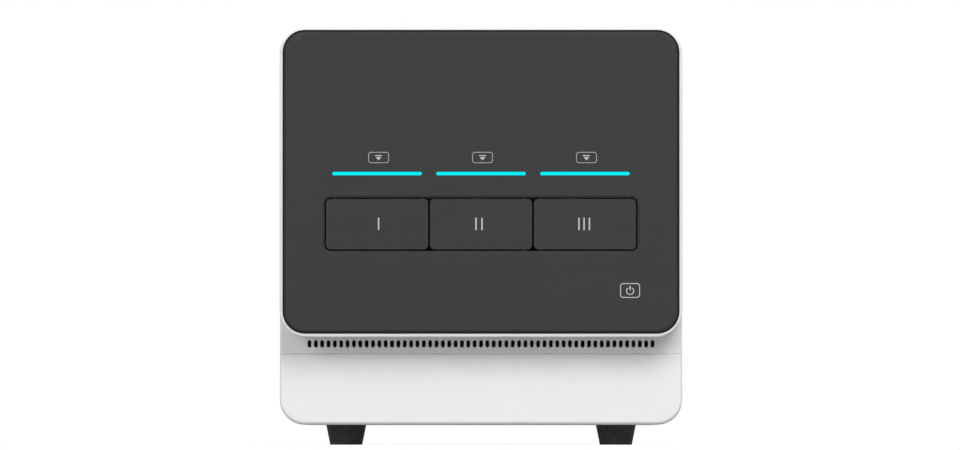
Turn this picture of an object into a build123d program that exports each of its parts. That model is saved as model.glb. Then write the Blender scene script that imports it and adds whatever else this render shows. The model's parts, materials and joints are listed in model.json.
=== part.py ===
from build123d import *
import os
from math import acos, cos, pi, radians, sin, sqrt, tan

# Bench instrument for real-time PCR with three motor-driven sample drawers.
# Millimetres. +Z up, the front looks along -Y, and the origin is on the bench under the middle.

# Housing
body_width = 400.0
body_depth = 500.0
body_height = 393.5
foot_height = 19.9
corner_radius = 25.0
shell_wall = 3.0
seam_height = 70.7
chin_edge_round = 3.0
seam_gap = 0.3

# Overhanging front, its vented strip and the chin under it
strip_height = 16.5
pod_low_corner = 27.0
pod_edge_round = 0.9
frame_depth = 43.0
overhang = 34.0
chin_reach = 22.0
vent_margin = 28.0
vent_pitch = 6.32
vent_width = 3.8
vent_length = 7.2
vent_drop = 3.1

# Front panel in its rim
panel_proud = 2.0
panel_thick = 6.0
rim_side = 2.9
rim_top = 1.4
rim_bottom = 3.1
panel_gap = 0.2
panel_edge_round = 3.5
ledge_width = 5.0
ledge_thick = 3.0

# Drawers
drawer_count = 3
drawer_width = 101.7
drawer_height = 50.3
drawer_gap = 1.5
drawer_rise = 86.6
drawer_corner = 4.5
drawer_edge_round = 0.8
front_recess = 1.5
front_thick = 8.0
mouth_gap = 1.2
mouth_bevel = 2.0
drawer_travel = 125.0
tray_width = 92.0
tray_wall = 2.5
tray_floor = 2.0
tray_lift = 1.1
tray_tail = 2.0
vent_bar = 6.0
vent_span = 60.0
tray_vents = 6
cover_thick = 2.5
cover_drop = 0.5
skirt_wall = 1.8
skirt_lap = 1.0
window_corner = 3.0
window_bevel = 0.8

# Sample block, cooled from below
well_pitch = 9.0
well_columns = 8
well_rows = 4
well_top_radius = 3.2
well_low_radius = 1.4
well_depth = 13.0
block_height = 15.0
block_margin = 7.5
block_setback = 85.0
block_sink = 6.0
window_gap = 2.0
cell_thick = 3.5
cell_inset = 1.0
sink_base = 5.0
fin_height = 14.0
fin_thick = 1.4
fin_pitch = 6.2
fin_inset = 8.0
sink_length = 96.0
sink_gap = 0.5
shelf_width = 6.0
shelf_thick = 3.0

# Drawer guides and drive
deck_thick = 3.0
deck_setback = 12.0
shoe_height = 15.0
shoe_lift = 1.0
shoe_width = 27.0
shoe_length = 35.0
shoe_tail = 7.5
rail_width = 12.0
rail_height = 8.0
rail_spare = 3.5
rail_front_gap = 2.5
slide_gap = 0.3
gear_module = 1.0
pinion_teeth = 18
pressure_angle = 20.0
backlash = 0.2
pinion_offset = 25.0
pinion_lift = 4.0
pinion_face = 8.0
rack_back = 6.0
rack_run_out = 5.0
rack_front_gap = 1.0
motor_size = 42.0
motor_length = 34.0
motor_corner = 4.0
pilot_radius = 11.0
pilot_height = 2.0
shaft_radius = 2.5
shaft_depth = 6.0
running_gap = 0.05

# Heated lids
lid_press_gap = 0.5
lid_travel = 7.5
lid_thick = 5.0
lid_side_gap = 3.0
aperture_radius = 2.5
light_margin = 3.5
carrier_thick = 5.0
carrier_width = 96.0
carrier_margin = 7.0
carrier_tail = 12.0
pin_radius = 3.0
pin_inset = 5.0
pin_clear = 1.5
pin_free = 33.0
bridge_thick = 4.0
bridge_reach = 35.0
bridge_tail = 22.0
actuator_size = 28.0
actuator_height = 32.0
actuator_offset = 38.0
actuator_corner = 3.0
plunger_spare = 4.0

# Scanning optics
head_width = 30.0
head_depth = 39.0
head_gap = 5.0
head_play = 6.0
head_back_gap = 1.0
lens_radius = 8.0
lens_length = 3.0
beam_gap = 4.0
beam_offset = 1.0
beam_height = 22.0
beam_depth = 20.0
scan_rail_height = 10.0
scan_rail_depth = 7.0
ear_thick = 4.0
ear_reach = 30.0
scan_screw_radius = 4.0
scan_screw_forward = 18.0
flat_motor_size = 35.0
flat_motor_length = 14.0
flat_motor_gap = 2.0

# Key board behind the panel, with the lights over the drawers
light_length = 88.7
light_height = 3.2
light_rise = 25.3
light_gap = 0.1
board_gap = 1.0
board_thick = 1.6
key_board_drop = 11.0
key_board_height = 38.0
key_board_margin = 50.0
post_radius = 3.0
post_inset = 6.0
power_key_inset = 52.0
power_key_rise = 46.1
power_board_width = 32.0
power_board_height = 28.0

# Inner frames
chassis_thick = 3.0
chassis_gap = 1.0
boss_height = 4.0
boss_radius = 9.0
side_plate_inset = 16.0
side_plate_thick = 3.0
side_plate_foot = 14.0
side_plate_tail = 15.0
side_plate_head = 10.0
side_hole_radius = 20.0
side_hole_pitch = 70.0
side_hole_start = 45.0

# Back of the housing
flange_width = 12.0
rear_thick = 2.0
rear_recess = 5.0
rear_gap = 0.4
exhaust_drop = 45.0
exhaust_rows = 3
exhaust_row_pitch = 26.0
exhaust_pitch = 11.0
exhaust_margin = 70.0
exhaust_length = 20.0
exhaust_width = 4.0
fan_size = 92.0
fan_depth = 25.0
fan_wall = 2.0
fan_corner = 5.0
fan_flange = 4.0
fan_hub_radius = 18.0
fan_tip_gap = 2.0
fan_front_gap = 2.0
fan_cup = 3.0
fan_cup_gap = 1.0
fan_strut = 3.0
fan_blades = 7
fan_screw_inset = 4.75
fan_lug = 12.0
fan_x = 72.0
fan_rise = 195.5
blade_chord = 30.0
blade_rake = 11.0
blade_bow = 4.0
blade_thick = 0.8
guard_wire = 1.0
guard_rings = 5
guard_pitch = 8.6
guard_inset = 1.0

# Feet and screws
foot_top_radius = 20.0
foot_low_radius = 16.0
foot_round = 1.0
foot_inset = 65.7
foot_setback = 60.0
foot_back_inset = 50.0
foot_back_spread = 3.2
foot_bore_radius = 6.0
foot_bore_depth = 9.0
screw_shank = 2.0
screw_hole_gap = 0.1
screw_head = 3.6
screw_head_height = 2.0
cross_width = 0.8
cross_depth = 1.0

# Power inlet with its switch
inlet_inset = 80.0
inlet_rise = 33.0
inlet_width = 74.0
inlet_height = 34.0
inlet_thick = 3.0
inlet_corner = 4.0
inlet_lap = 8.0
inlet_low_lap = 4.0
inlet_depth = 24.0
inlet_edge_round = 0.8
socket_width = 25.0
socket_height = 17.0
socket_depth = 16.0
socket_corner = 4.5
socket_offset = -13.5
blade_pin_width = 2.0
blade_pin_height = 4.0
blade_pin_recess = 5.5
blade_pin_pitch = 7.0
blade_pin_rise = 2.0
rocker_width = 12.0
rocker_height = 20.0
rocker_offset = 16.5
rocker_tilt = 8.0
rocker_gap = 0.6
rocker_well_depth = 14.0
rocker_pin_radius = 1.5
rocker_pin_reach = 1.5
rocker_sink = 4.0
rocker_crown = 4.6
rocker_tail = 6.0

# Data sockets
port_inset = 88.0
port_rise = 23.0
net_width = 11.8
net_height = 8.0
usb_width = 8.6
usb_height = 7.8
port_depth = 12.0
port_back = 4.0
port_wall = 2.2
port_pitch = 24.0
port_proud = 1.0
port_board_margin = 20.0
port_board_tail = 12.0

# Power supply and main board
supply_width = 110.0
supply_length = 155.0
supply_height = 62.0
supply_inset = 28.0
supply_back_gap = 35.0
supply_round = 2.0
supply_vent_pitch = 12.0
supply_vent_width = 4.0
supply_vent_depth = 1.5
supply_vent_margin = 20.0
terminal_length = 12.0
terminal_height = 16.0
terminal_inset = 8.0
main_supply_gap = 22.0
main_length = 158.0
main_inset = 35.0
main_back_gap = 27.0
main_lift = 8.0
pillar_radius = 3.0
pillar_inset = 6.0
chip_size = 30.0
chip_height = 3.0
plug_rows = 3
plug_row_length = 30.0
plug_row_width = 8.0
plug_row_height = 9.0
can_radius = 5.0
can_height = 14.0
can_pitch = 14.0
can_count = 5

# Housing planes worked out from the sizes
half_width = body_width / 2
front_y = -body_depth / 2
back_y = body_depth / 2
body_low = foot_height
body_top = foot_height + body_height
seam_z = body_low + seam_height
tub_top = seam_z - seam_gap
pod_low = seam_z + strip_height
rim_y = front_y + panel_proud
frame_y = rim_y + frame_depth
chin_top_y = rim_y + overhang
ledge_y = front_y + panel_thick
ledge_back_y = ledge_y + ledge_thick
rear_outer_y = back_y - rear_recess
rear_inner_y = rear_outer_y - rear_thick
flange_y = rear_inner_y - shell_wall
panel_corner = corner_radius - rim_side
hole_radius = screw_shank + screw_hole_gap

# Drawer places
drawer_low = pod_low + drawer_rise
drawer_top = drawer_low + drawer_height
drawer_pitch = drawer_width + drawer_gap
drawer_x = [(n - (drawer_count - 1) / 2) * drawer_pitch for n in range(drawer_count)]
mouth_half = (drawer_count * drawer_pitch - drawer_gap) / 2 + mouth_gap
face_y = front_y + front_recess
tray_front_y = face_y + front_thick
tray_low = drawer_low + tray_lift
cover_top = drawer_top - cover_drop
tray_top = cover_top - cover_thick
tray_half = tray_width / 2
block_centre_y = front_y + block_setback
block_width = (well_columns - 1) * well_pitch + 2 * block_margin
block_length = (well_rows - 1) * well_pitch + 2 * block_margin
block_top = cover_top - block_sink
block_low = block_top - block_height
cell_low = block_low - cell_thick
sink_low = cell_low - sink_base
fin_low = sink_low - fin_height
sink_front_y = block_centre_y - sink_length / 2
sink_back_y = block_centre_y + sink_length / 2
window_width = block_width + 2 * window_gap
window_length = block_length + 2 * window_gap

# Guide and drive places
deck_top = tray_low - shoe_height - shoe_lift
deck_low = deck_top - deck_thick
deck_front_y = front_y + deck_setback
rail_front_y = deck_front_y + rail_front_gap
shoe_front_y = rail_front_y + rail_spare + drawer_travel + shoe_length / 2
pinion_y = deck_front_y + rack_front_gap + drawer_travel + rack_run_out
pinion_low = deck_top + pinion_lift
pinion_radius = gear_module * pinion_teeth / 2
tooth_pitch = pi * gear_module
rack_front_y = pinion_y - rack_run_out
rack_end_y = pinion_y + drawer_travel + rack_run_out
tray_back_y = rack_end_y + tray_tail
shoe_back_y = tray_back_y - shoe_tail - shoe_length / 2
rail_back_y = shoe_back_y + shoe_length / 2 + rail_spare

# Lid and optics places
lid_low = cover_top + lid_press_gap + lid_travel
lid_width = window_width - 2 * lid_side_gap
lid_length = window_length - 2 * lid_side_gap
light_width = (well_columns - 1) * well_pitch + 2 * light_margin
light_depth = (well_rows - 1) * well_pitch + 2 * light_margin
carrier_low = lid_low + lid_thick
carrier_top = carrier_low + carrier_thick
carrier_front_y = block_centre_y - lid_length / 2 - carrier_margin
plunger_y = block_centre_y + actuator_offset
carrier_back_y = plunger_y + carrier_tail
pin_x = carrier_width / 2 - pin_inset
pin_y = lid_length / 2 + carrier_margin - pin_inset
bridge_low = carrier_top + pin_free
bridge_top = bridge_low + bridge_thick
actuator_top = bridge_top + actuator_height
beam_low = actuator_top + beam_gap
beam_top = beam_low + beam_height
beam_y = plunger_y - actuator_size / 2 + beam_offset
scan_z = beam_low + beam_height / 2
scan_screw_y = beam_y - scan_screw_forward
head_low = bridge_top + head_gap
head_back_y = beam_y - scan_rail_depth
head_front_y = head_back_y - head_depth

# Inner frame places
chassis_low = body_low + shell_wall + boss_height
chassis_top = chassis_low + chassis_thick
side_plate_x = half_width - side_plate_inset
side_plate_front_y = block_centre_y - bridge_reach
side_plate_back_y = tray_back_y + side_plate_tail
side_plate_top = beam_top + side_plate_head
ear_x = side_plate_x - flat_motor_gap - flat_motor_length - ear_thick
head_home_x = -(ear_x - head_width / 2 - head_play)
board_y = ledge_back_y + board_gap
light_z = drawer_top + light_rise
key_board_low = light_z - key_board_drop
key_board_top = key_board_low + key_board_height
key_board_half = half_width - key_board_margin
power_key_x = half_width - power_key_inset
power_key_z = pod_low + power_key_rise

# Rear places
fan_z = body_low + fan_rise
fan_y = rear_inner_y - fan_depth
fan_duct_radius = fan_size / 2 - fan_wall
fan_blade_radius = fan_duct_radius - fan_tip_gap
fan_screw_half = fan_size / 2 - fan_screw_inset
inlet_x = -half_width + inlet_inset
inlet_z = chassis_top + inlet_rise
inlet_y = rear_outer_y + inlet_thick
rocker_x = inlet_x + rocker_offset
rocker_y = inlet_y - rocker_sink
port_x = half_width - port_inset
port_z = chassis_top + port_rise


def block(x_low, x_high, y_low, y_high, z_low, z_high):
    """A straight block between two corners, its limits in either order."""
    size = (abs(x_high - x_low), abs(y_high - y_low), abs(z_high - z_low))
    return Pos((x_low + x_high) / 2, (y_low + y_high) / 2, (z_low + z_high) / 2) * Box(*size)


def centred(x, y, width, length, z_low, z_high):
    """A straight block centred on x, y."""
    return block(x - width / 2, x + width / 2, y - length / 2, y + length / 2, z_low, z_high)


def upright(radius, x, y, z_low, z_high):
    """A cylinder standing at x, y."""
    return Pos(x, y, (z_low + z_high) / 2) * Cylinder(radius, z_high - z_low)


def tapered(low_radius, high_radius, x, y, z_low, z_high):
    """A cone standing at x, y."""
    return Pos(x, y, (z_low + z_high) / 2) * Cone(low_radius, high_radius, z_high - z_low)


def along_y(radius, x, z, y_low, y_high):
    """A cylinder lying along Y."""
    return Pos(x, (y_low + y_high) / 2, z) * Rot(90, 0, 0) * Cylinder(radius, y_high - y_low)


def along_x(radius, y, z, x_low, x_high):
    """A cylinder lying along X."""
    return Pos((x_low + x_high) / 2, y, z) * Rot(0, 90, 0) * Cylinder(radius, abs(x_high - x_low))


def slab(outline, y_low, y_high):
    """An outline drawn in X and Z, made solid from y_low to y_high."""
    return extrude(Plane.XZ.offset(-y_high) * outline, amount=y_high - y_low)


def cross_bar(outline, x_low, x_high):
    """An outline drawn in Y and Z, made solid from x_low to x_high."""
    return extrude(Plane.YZ.offset(x_low) * outline, amount=x_high - x_low)


def rounded(half, z_low, z_high, low_radius, high_radius):
    """A rectangle in X and Z with one radius at its low corners and one at its high corners."""
    shape = Pos(0, (z_low + z_high) / 2) * Rectangle(2 * half, z_high - z_low)
    if low_radius > 0:
        shape = fillet(shape.vertices().group_by(Axis.Y)[0], low_radius)
    if high_radius > 0:
        shape = fillet(shape.vertices().group_by(Axis.Y)[-1], high_radius)
    return shape


def polygon(*points):
    """A closed outline through points."""
    return make_face(Polyline(*points, close=True))


def upright_slot(x, z, length, width):
    """A round-ended slot standing at x, z."""
    return Pos(x, z) * Rot(0, 0, 90) * SlotOverall(length, width)


def in_plane(edge, axis, place):
    """True for an edge that lies wholly in one plane square to an axis."""
    box = edge.bounding_box()
    low = {"y": box.min.Y, "z": box.min.Z}[axis]
    high = {"y": box.max.Y, "z": box.max.Z}[axis]
    return max(abs(low - place), abs(high - place)) < running_gap


def edges_in(shape, axis, place):
    """The edges of a shape that lie in one plane square to an axis."""
    return shape.edges().filter_by(lambda edge: in_plane(edge, axis, place))


def square_corners(half):
    """The four corners of a square about nothing."""
    return [(x, z) for x in (-half, half) for z in (-half, half)]


def chin_y(z):
    """Where the face of the chin stands at height z: it leans forward to its foot."""
    share = max(0.0, (pod_low - z) / (pod_low - body_low))
    return chin_top_y - chin_reach * share


def foot_places():
    """Where the four feet stand."""
    x = half_width - foot_inset
    front = [(side * x, front_y + foot_setback) for side in (-1, 1)]
    back = [(side * (x + foot_back_spread), back_y - foot_back_inset) for side in (-1, 1)]
    return front + back


def body_outline(inset):
    """The rounded outline of the whole body, drawn in by an inset."""
    radius = max(corner_radius - inset, shell_wall)
    return rounded(half_width - inset, body_low + inset, body_top - inset, radius, radius)


def panel_outline(grow):
    """The outline of the dark panel, grown or shrunk on every side."""
    half = half_width - rim_side - panel_gap + grow
    low = pod_low + rim_bottom + panel_gap - grow
    high = body_top - rim_top - panel_gap + grow
    return rounded(half, low, high, panel_corner + grow, panel_corner + grow)


def vent_cut():
    """The row of upright air slots through the strip under the overhang."""
    centre_z = pod_low - vent_drop - vent_length / 2
    count = int((body_width - 2 * vent_margin) / vent_pitch) + 1
    slots = Sketch()
    for n in range(count):
        slots += upright_slot((n - (count - 1) / 2) * vent_pitch, centre_z, vent_length, vent_width)
    face = chin_y(centre_z)
    return slab(slots, face - shell_wall, face + 2 * shell_wall)


def make_front_frame():
    """The moulded white frame: a rim round the dark panel, an overhang, and the vented strip under it."""
    pod = slab(rounded(half_width, pod_low, body_top, pod_low_corner, corner_radius), rim_y, frame_y)
    pod = fillet(edges_in(pod, "y", rim_y), pod_edge_round)
    strip_top = pod_low + pod_low_corner
    strip = cross_bar(polygon(
        (chin_y(seam_z), seam_z), (chin_top_y, pod_low), (chin_top_y, strip_top),
        (frame_y, strip_top), (frame_y, seam_z)), -half_width, half_width)
    strip = fillet(front_side_edges(strip), chin_edge_round)
    inner_half = half_width - shell_wall
    inside = slab(rounded(
        inner_half, pod_low + shell_wall, body_top - shell_wall,
        pod_low_corner - shell_wall, corner_radius - shell_wall), ledge_back_y, frame_y)
    hollow = cross_bar(polygon(
        (chin_y(seam_z) + shell_wall, seam_z), (chin_top_y + shell_wall, pod_low),
        (chin_top_y + shell_wall, strip_top), (frame_y, strip_top), (frame_y, seam_z)),
        -inner_half, inner_half)
    pocket = slab(panel_outline(panel_gap), rim_y, ledge_y)
    view = slab(panel_outline(-ledge_width), ledge_y, ledge_back_y)
    return pod + strip - inside - hollow - pocket - view - vent_cut()


def front_side_edges(strip):
    """The two pairs of upright edges where the strip turns from its front to its sides."""
    side = strip.edges().filter_by(lambda edge: abs(abs(edge.center().X) - half_width) < running_gap)
    return side.filter_by(lambda edge: edge.center().Y < chin_top_y + running_gap)


def make_base_shell():
    """The white tub under the seam, with the leaning chin and the bosses that the feet screw into."""
    low_y = chin_y(body_low) - shell_wall
    tub = slab(rounded(half_width, body_low, tub_top, corner_radius, 0), low_y, back_y)
    tub = tub & chin_side(0)
    face = tub.faces().filter_by(lambda f: f.normal_at().Y < -0.5).sort_by(Axis.Y)[0]
    turned = face.edges().filter_by(lambda edge: edge.center().Z < tub_top - running_gap)
    tub = fillet(turned, chin_edge_round)
    inner_corner = corner_radius - shell_wall
    inner = rounded(half_width - shell_wall, body_low + shell_wall, tub_top, inner_corner, 0)
    tub = tub - (slab(inner, low_y, back_y) & chin_side(shell_wall))
    for x, y in foot_places():
        tub += upright(boss_radius, x, y, body_low + shell_wall, chassis_low)
        tub -= upright(hole_radius, x, y, body_low, chassis_low)
    return tub + rear_flange(body_low, tub_top)


def chin_side(wall):
    """All that lies behind the leaning face of the chin, set back by a wall."""
    outline = polygon(
        (chin_y(body_low) + wall, body_low), (chin_y(seam_z) + wall, seam_z),
        (back_y, seam_z), (back_y, body_low))
    return cross_bar(outline, -half_width, half_width)


def make_top_cover():
    """The white cover that wraps the top and both sides."""
    cover = slab(rounded(half_width, seam_z, body_top, 0, corner_radius), frame_y, back_y)
    inner_corner = corner_radius - shell_wall
    inner = rounded(half_width - shell_wall, seam_z, body_top - shell_wall, 0, inner_corner)
    cover = cover - slab(inner, frame_y, back_y)
    return cover + rear_flange(seam_z, body_top)


def rear_flange(z_low, z_high):
    """The turned-in flange that the back plate is screwed to, between two heights."""
    ring = slab(body_outline(shell_wall) - body_outline(shell_wall + flange_width), flange_y, rear_inner_y)
    for x, z in rear_screw_places():
        ring -= along_y(hole_radius, x, z, flange_y, rear_inner_y)
    return ring & block(-half_width, half_width, flange_y, rear_inner_y, z_low, z_high)


def rear_screw_places():
    """The screws round the back plate, as X and Z: two along each short edge and three up each side."""
    inset = shell_wall + flange_width / 2
    side = half_width - inset
    low = body_low + inset
    high = body_top - inset
    across = [(x, z) for x in (-side / 2, side / 2) for z in (low, high)]
    up = [(x, low + (high - low) * share) for x in (-side, side) for share in (0.12, 0.5, 0.88)]
    return across + up


def make_rubber_feet():
    """Four tapered rubber feet, each hollowed for its screw head."""
    feet = Part()
    for x, y in foot_places():
        foot = tapered(foot_low_radius, foot_top_radius, x, y, 0, foot_height)
        foot = fillet(edges_in(foot, "z", 0), foot_round)
        foot -= upright(foot_bore_radius, x, y, 0, foot_bore_depth)
        foot -= upright(hole_radius, x, y, 0, foot_height)
        feet += foot
    return feet


def make_case_screws():
    """The screws that hold the feet, the back plate, the fans and the inlet."""
    screws = Part()
    for x, y in foot_places():
        screws += upright(screw_head, x, y, foot_bore_depth - screw_head_height, foot_bore_depth)
        screws += upright(screw_shank, x, y, foot_bore_depth, chassis_top)
    for x, z in rear_screw_places():
        screws += cross_screw(x, z, rear_outer_y, flange_y)
    for x, z in fan_screw_places():
        screws += cross_screw(x, z, rear_outer_y + 2 * guard_wire, fan_y)
    for x in inlet_screw_places():
        screws += cross_screw(x, inlet_z, inlet_y, rear_inner_y)
    return screws


def cross_screw(x, z, seat_y, tip_y):
    """A cross-head screw driven forward from the back."""
    top_y = seat_y + screw_head_height
    head = along_y(screw_head, x, z, seat_y, top_y)
    head = fillet(edges_in(head, "y", top_y), screw_head_height / 3)
    for turn in (0, 90):
        bar = Box(screw_head, cross_depth, cross_width)
        head -= Pos(x, top_y - cross_depth / 2, z) * Rot(0, turn, 0) * bar
    return head + along_y(screw_shank, x, z, tip_y, seat_y)


def fan_screw_places():
    """The screws of both fans, as X and Z."""
    return [(x + dx, fan_z + dz) for x in (-fan_x, fan_x) for dx, dz in square_corners(fan_screw_half)]


def inlet_screw_places():
    """The two screws of the inlet, along X."""
    reach = (inlet_width - inlet_lap) / 2
    return [inlet_x - reach, inlet_x + reach]


def make_rear_panel():
    """The steel back plate, with the fan mouths, the exhaust slots and the cut-outs for its sockets."""
    plate = slab(body_outline(shell_wall + rear_gap), rear_inner_y, rear_outer_y)
    for x in (-fan_x, fan_x):
        plate -= along_y(fan_duct_radius, x, fan_z, rear_inner_y, rear_outer_y)
    holes = rear_screw_places() + fan_screw_places() + [(x, inlet_z) for x in inlet_screw_places()]
    for x, z in holes:
        plate -= along_y(hole_radius, x, z, rear_inner_y, rear_outer_y)
    plate -= slab(inlet_outline(slide_gap), rear_inner_y, rear_outer_y)
    plate -= slab(port_outlines(slide_gap), rear_inner_y, rear_outer_y)
    return plate - exhaust_cut()


def exhaust_cut():
    """The rows of upright slots high in the back plate."""
    count = int((body_width - 2 * exhaust_margin) / exhaust_pitch) + 1
    slots = Sketch()
    for row in range(exhaust_rows):
        z = body_top - exhaust_drop - row * exhaust_row_pitch
        for n in range(count):
            x = (n - (count - 1) / 2) * exhaust_pitch
            slots += upright_slot(x, z, exhaust_length, exhaust_width)
    return slab(slots, rear_inner_y, rear_outer_y)


def make_front_panel():
    """The dark panel with its rounded edge, the drawer mouth and the three light slots."""
    panel = slab(panel_outline(0), front_y, ledge_y)
    panel = fillet(edges_in(panel, "y", front_y), panel_edge_round)
    corner = drawer_corner + mouth_gap
    panel -= slab(rounded(mouth_half, drawer_low - mouth_gap, drawer_top + mouth_gap, corner, corner),
                  front_y, ledge_y)
    face_edges = edges_in(panel, "y", front_y)
    panel = chamfer(face_edges.filter_by(on_mouth), mouth_bevel)
    return panel - slab(light_outlines(light_gap), front_y, ledge_y)


def on_mouth(edge):
    """True for an edge of the drawer mouth."""
    centre = edge.center()
    across = abs(centre.X) < mouth_half + running_gap
    low = drawer_low - mouth_gap - running_gap
    return across and low < centre.Z < drawer_top + mouth_gap + running_gap


def light_outlines(grow):
    """The three light slots, grown by a gap."""
    shapes = Sketch()
    for x in drawer_x:
        shapes += Pos(x, light_z) * SlotOverall(light_length + 2 * grow, light_height + 2 * grow)
    return shapes


def make_light_bars():
    """Three clear light guides that stand on the key board and end level with the panel."""
    return slab(light_outlines(0), front_y + light_gap, board_y)


def make_touch_board():
    """The key board behind the lights, and the small one behind the power key, on posts."""
    board_back = board_y + board_thick
    strip = block(-key_board_half, key_board_half, board_y, board_back, key_board_low, key_board_top)
    for x in (-key_board_half + post_inset, key_board_half - post_inset):
        for z in (key_board_low + post_inset, key_board_top - post_inset):
            strip += along_y(post_radius, x, z, ledge_y, board_y)
    width = power_board_width / 2
    height = power_board_height / 2
    power = block(power_key_x - width, power_key_x + width, board_y, board_back,
                  power_key_z - height, power_key_z + height)
    for side in (-1, 1):
        post_x = power_key_x + side * (width - post_inset)
        power += along_y(post_radius, post_x, power_key_z, ledge_y, board_y)
    return Part() + [strip, power]


def drawer_front(x):
    """The dark front of one drawer."""
    outline = RectangleRounded(drawer_width, drawer_height, drawer_corner)
    plate = slab(Pos(x, drawer_low + drawer_height / 2) * outline, face_y, tray_front_y)
    return fillet(edges_in(plate, "y", face_y), drawer_edge_round)


def drawer_tray(x):
    """The carrier of one drawer: an open trough with two shoes that run on its rail."""
    inner = tray_half - tray_wall
    tray = block(x - tray_half, x + tray_half, tray_front_y, tray_back_y, tray_low, tray_top)
    tray -= block(x - inner, x + inner, tray_front_y + tray_wall, tray_back_y - tray_wall,
                  tray_low + tray_floor, tray_top)
    for side in (-1, 1):
        tray += block(x + side * inner, x + side * (inner - shelf_width), sink_front_y, sink_back_y,
                      sink_low - shelf_thick, sink_low)
    for n in range(tray_vents):
        y = sink_front_y + (n + 0.5) * sink_length / tray_vents
        tray -= centred(x, y, vent_span, vent_bar, tray_low, tray_low + tray_floor)
    tray -= block(x - vent_span / 2, x + vent_span / 2, tray_back_y - tray_wall, tray_back_y,
                  fin_low, cell_low)
    for y in (shoe_front_y, shoe_back_y):
        tray += centred(x, y, shoe_width, shoe_length, deck_top + shoe_lift, tray_low)
        tray -= centred(x, y, rail_width + 2 * slide_gap, shoe_length, deck_top,
                        deck_top + rail_height + slide_gap)
    return tray


def tray_cover(x):
    """The top of one drawer, with a skirted window over the sample block."""
    cover = block(x - tray_half, x + tray_half, tray_front_y, tray_back_y, tray_top, cover_top)
    cover += centred(x, block_centre_y, window_width + 2 * skirt_wall, window_length + 2 * skirt_wall,
                     block_top - skirt_lap, tray_top)
    outline = RectangleRounded(window_width, window_length, window_corner)
    cover -= Pos(x, block_centre_y, block_top - skirt_lap) * extrude(outline, amount=block_sink + skirt_lap)
    rim = edges_in(cover, "z", cover_top).filter_by(lambda edge: near_window(edge.center(), x))
    return chamfer(rim, window_bevel)


def near_window(point, x):
    """True for a point on the rim of the window of the drawer at x."""
    across = abs(point.X - x) < window_width / 2 + running_gap
    return across and abs(point.Y - block_centre_y) < window_length / 2 + running_gap


def well_places():
    """The wells about the middle of their block."""
    first_x = -(well_columns - 1) / 2 * well_pitch
    first_y = -(well_rows - 1) / 2 * well_pitch
    return [(first_x + i * well_pitch, first_y + j * well_pitch)
            for i in range(well_columns) for j in range(well_rows)]


def sample_block(x):
    """The aluminium block with its tapered wells."""
    shape = centred(x, block_centre_y, block_width, block_length, block_low, block_top)
    wells = Part()
    for dx, dy in well_places():
        wells += tapered(well_low_radius, well_top_radius, x + dx, block_centre_y + dy,
                         block_top - well_depth, block_top)
    return shape - wells


def thermal_cells(x):
    """Two thermoelectric cells side by side under the block."""
    cells = Part()
    for side in (-1, 1):
        cells += centred(x + side * block_width / 4, block_centre_y, block_width / 2 - 2 * cell_inset,
                         block_length - 2 * cell_inset, cell_low, block_low)
    return cells


def heat_sink(x):
    """The finned sink that hangs on the two shelves of its tray."""
    half = tray_half - tray_wall - sink_gap
    sink = block(x - half, x + half, sink_front_y, sink_back_y, sink_low, cell_low)
    count = int((2 * (half - fin_inset) - fin_thick) / fin_pitch) + 1
    for n in range(count):
        centre = x + (n - (count - 1) / 2) * fin_pitch
        sink += centred(centre, block_centre_y, fin_thick, sink_length, fin_low, sink_low)
    return sink


def drawer_rack(x):
    """The toothed rack under one tray, its teeth towards the pinion."""
    pitch_x = x + pinion_offset + pinion_radius
    tip_x = pitch_x - gear_module
    root_x = pitch_x + 1.25 * gear_module
    slope = tan(radians(pressure_angle))
    half_tooth = tooth_pitch / 4 - backlash / 4
    half_tip = half_tooth - gear_module * slope
    half_root = half_tooth + 1.25 * gear_module * slope
    points = []
    for n in range(int(-rack_run_out / tooth_pitch), int((rack_end_y - pinion_y) / tooth_pitch)):
        centre = pinion_y + (n + 0.5) * tooth_pitch
        points += [(root_x, centre - half_root), (tip_x, centre - half_tip),
                   (tip_x, centre + half_tip), (root_x, centre + half_root)]
    back_x = root_x + rack_back
    points += [(back_x, points[-1][1]), (back_x, points[0][1])]
    return Pos(0, 0, pinion_low) * extrude(polygon(*points), amount=tray_low - pinion_low)


def tooth_outline():
    """One involute tooth of the pinion, pointing along +X."""
    base = pinion_radius * cos(radians(pressure_angle))
    root = pinion_radius - 1.25 * gear_module
    tip = pinion_radius + gear_module
    half_angle = (tooth_pitch / 2 - backlash / 2) / (2 * pinion_radius)
    base_turn = half_angle + tan(radians(pressure_angle)) - radians(pressure_angle)
    flank = []
    for n in range(6):
        r = base + (tip - base) * n / 5
        press = acos(min(1.0, base / r))
        turn = base_turn - (tan(press) - press)
        flank.append((r * cos(turn), r * sin(turn)))
    start = (0.9 * root * cos(base_turn), 0.9 * root * sin(base_turn))
    end = (start[0], -start[1])
    mirrored = [(px, -py) for px, py in reversed(flank)]
    upper = Line(start, flank[0]) + Spline(*flank)
    lower = Spline(*mirrored) + Line(mirrored[-1], end)
    return make_face(upper + Line(flank[-1], mirrored[0]) + lower + Line(end, start))


def drive_pinion(x):
    """The pinion and the motor shaft that carries it."""
    outline = Circle(pinion_radius - 1.25 * gear_module)
    tooth = tooth_outline()
    for n in range(pinion_teeth):
        outline += Rot(0, 0, 360 / pinion_teeth * n) * tooth
    gear = Pos(x + pinion_offset, pinion_y, pinion_low) * extrude(outline, amount=pinion_face)
    return gear + upright(shaft_radius, x + pinion_offset, pinion_y, deck_low - shaft_depth, pinion_low)


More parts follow.
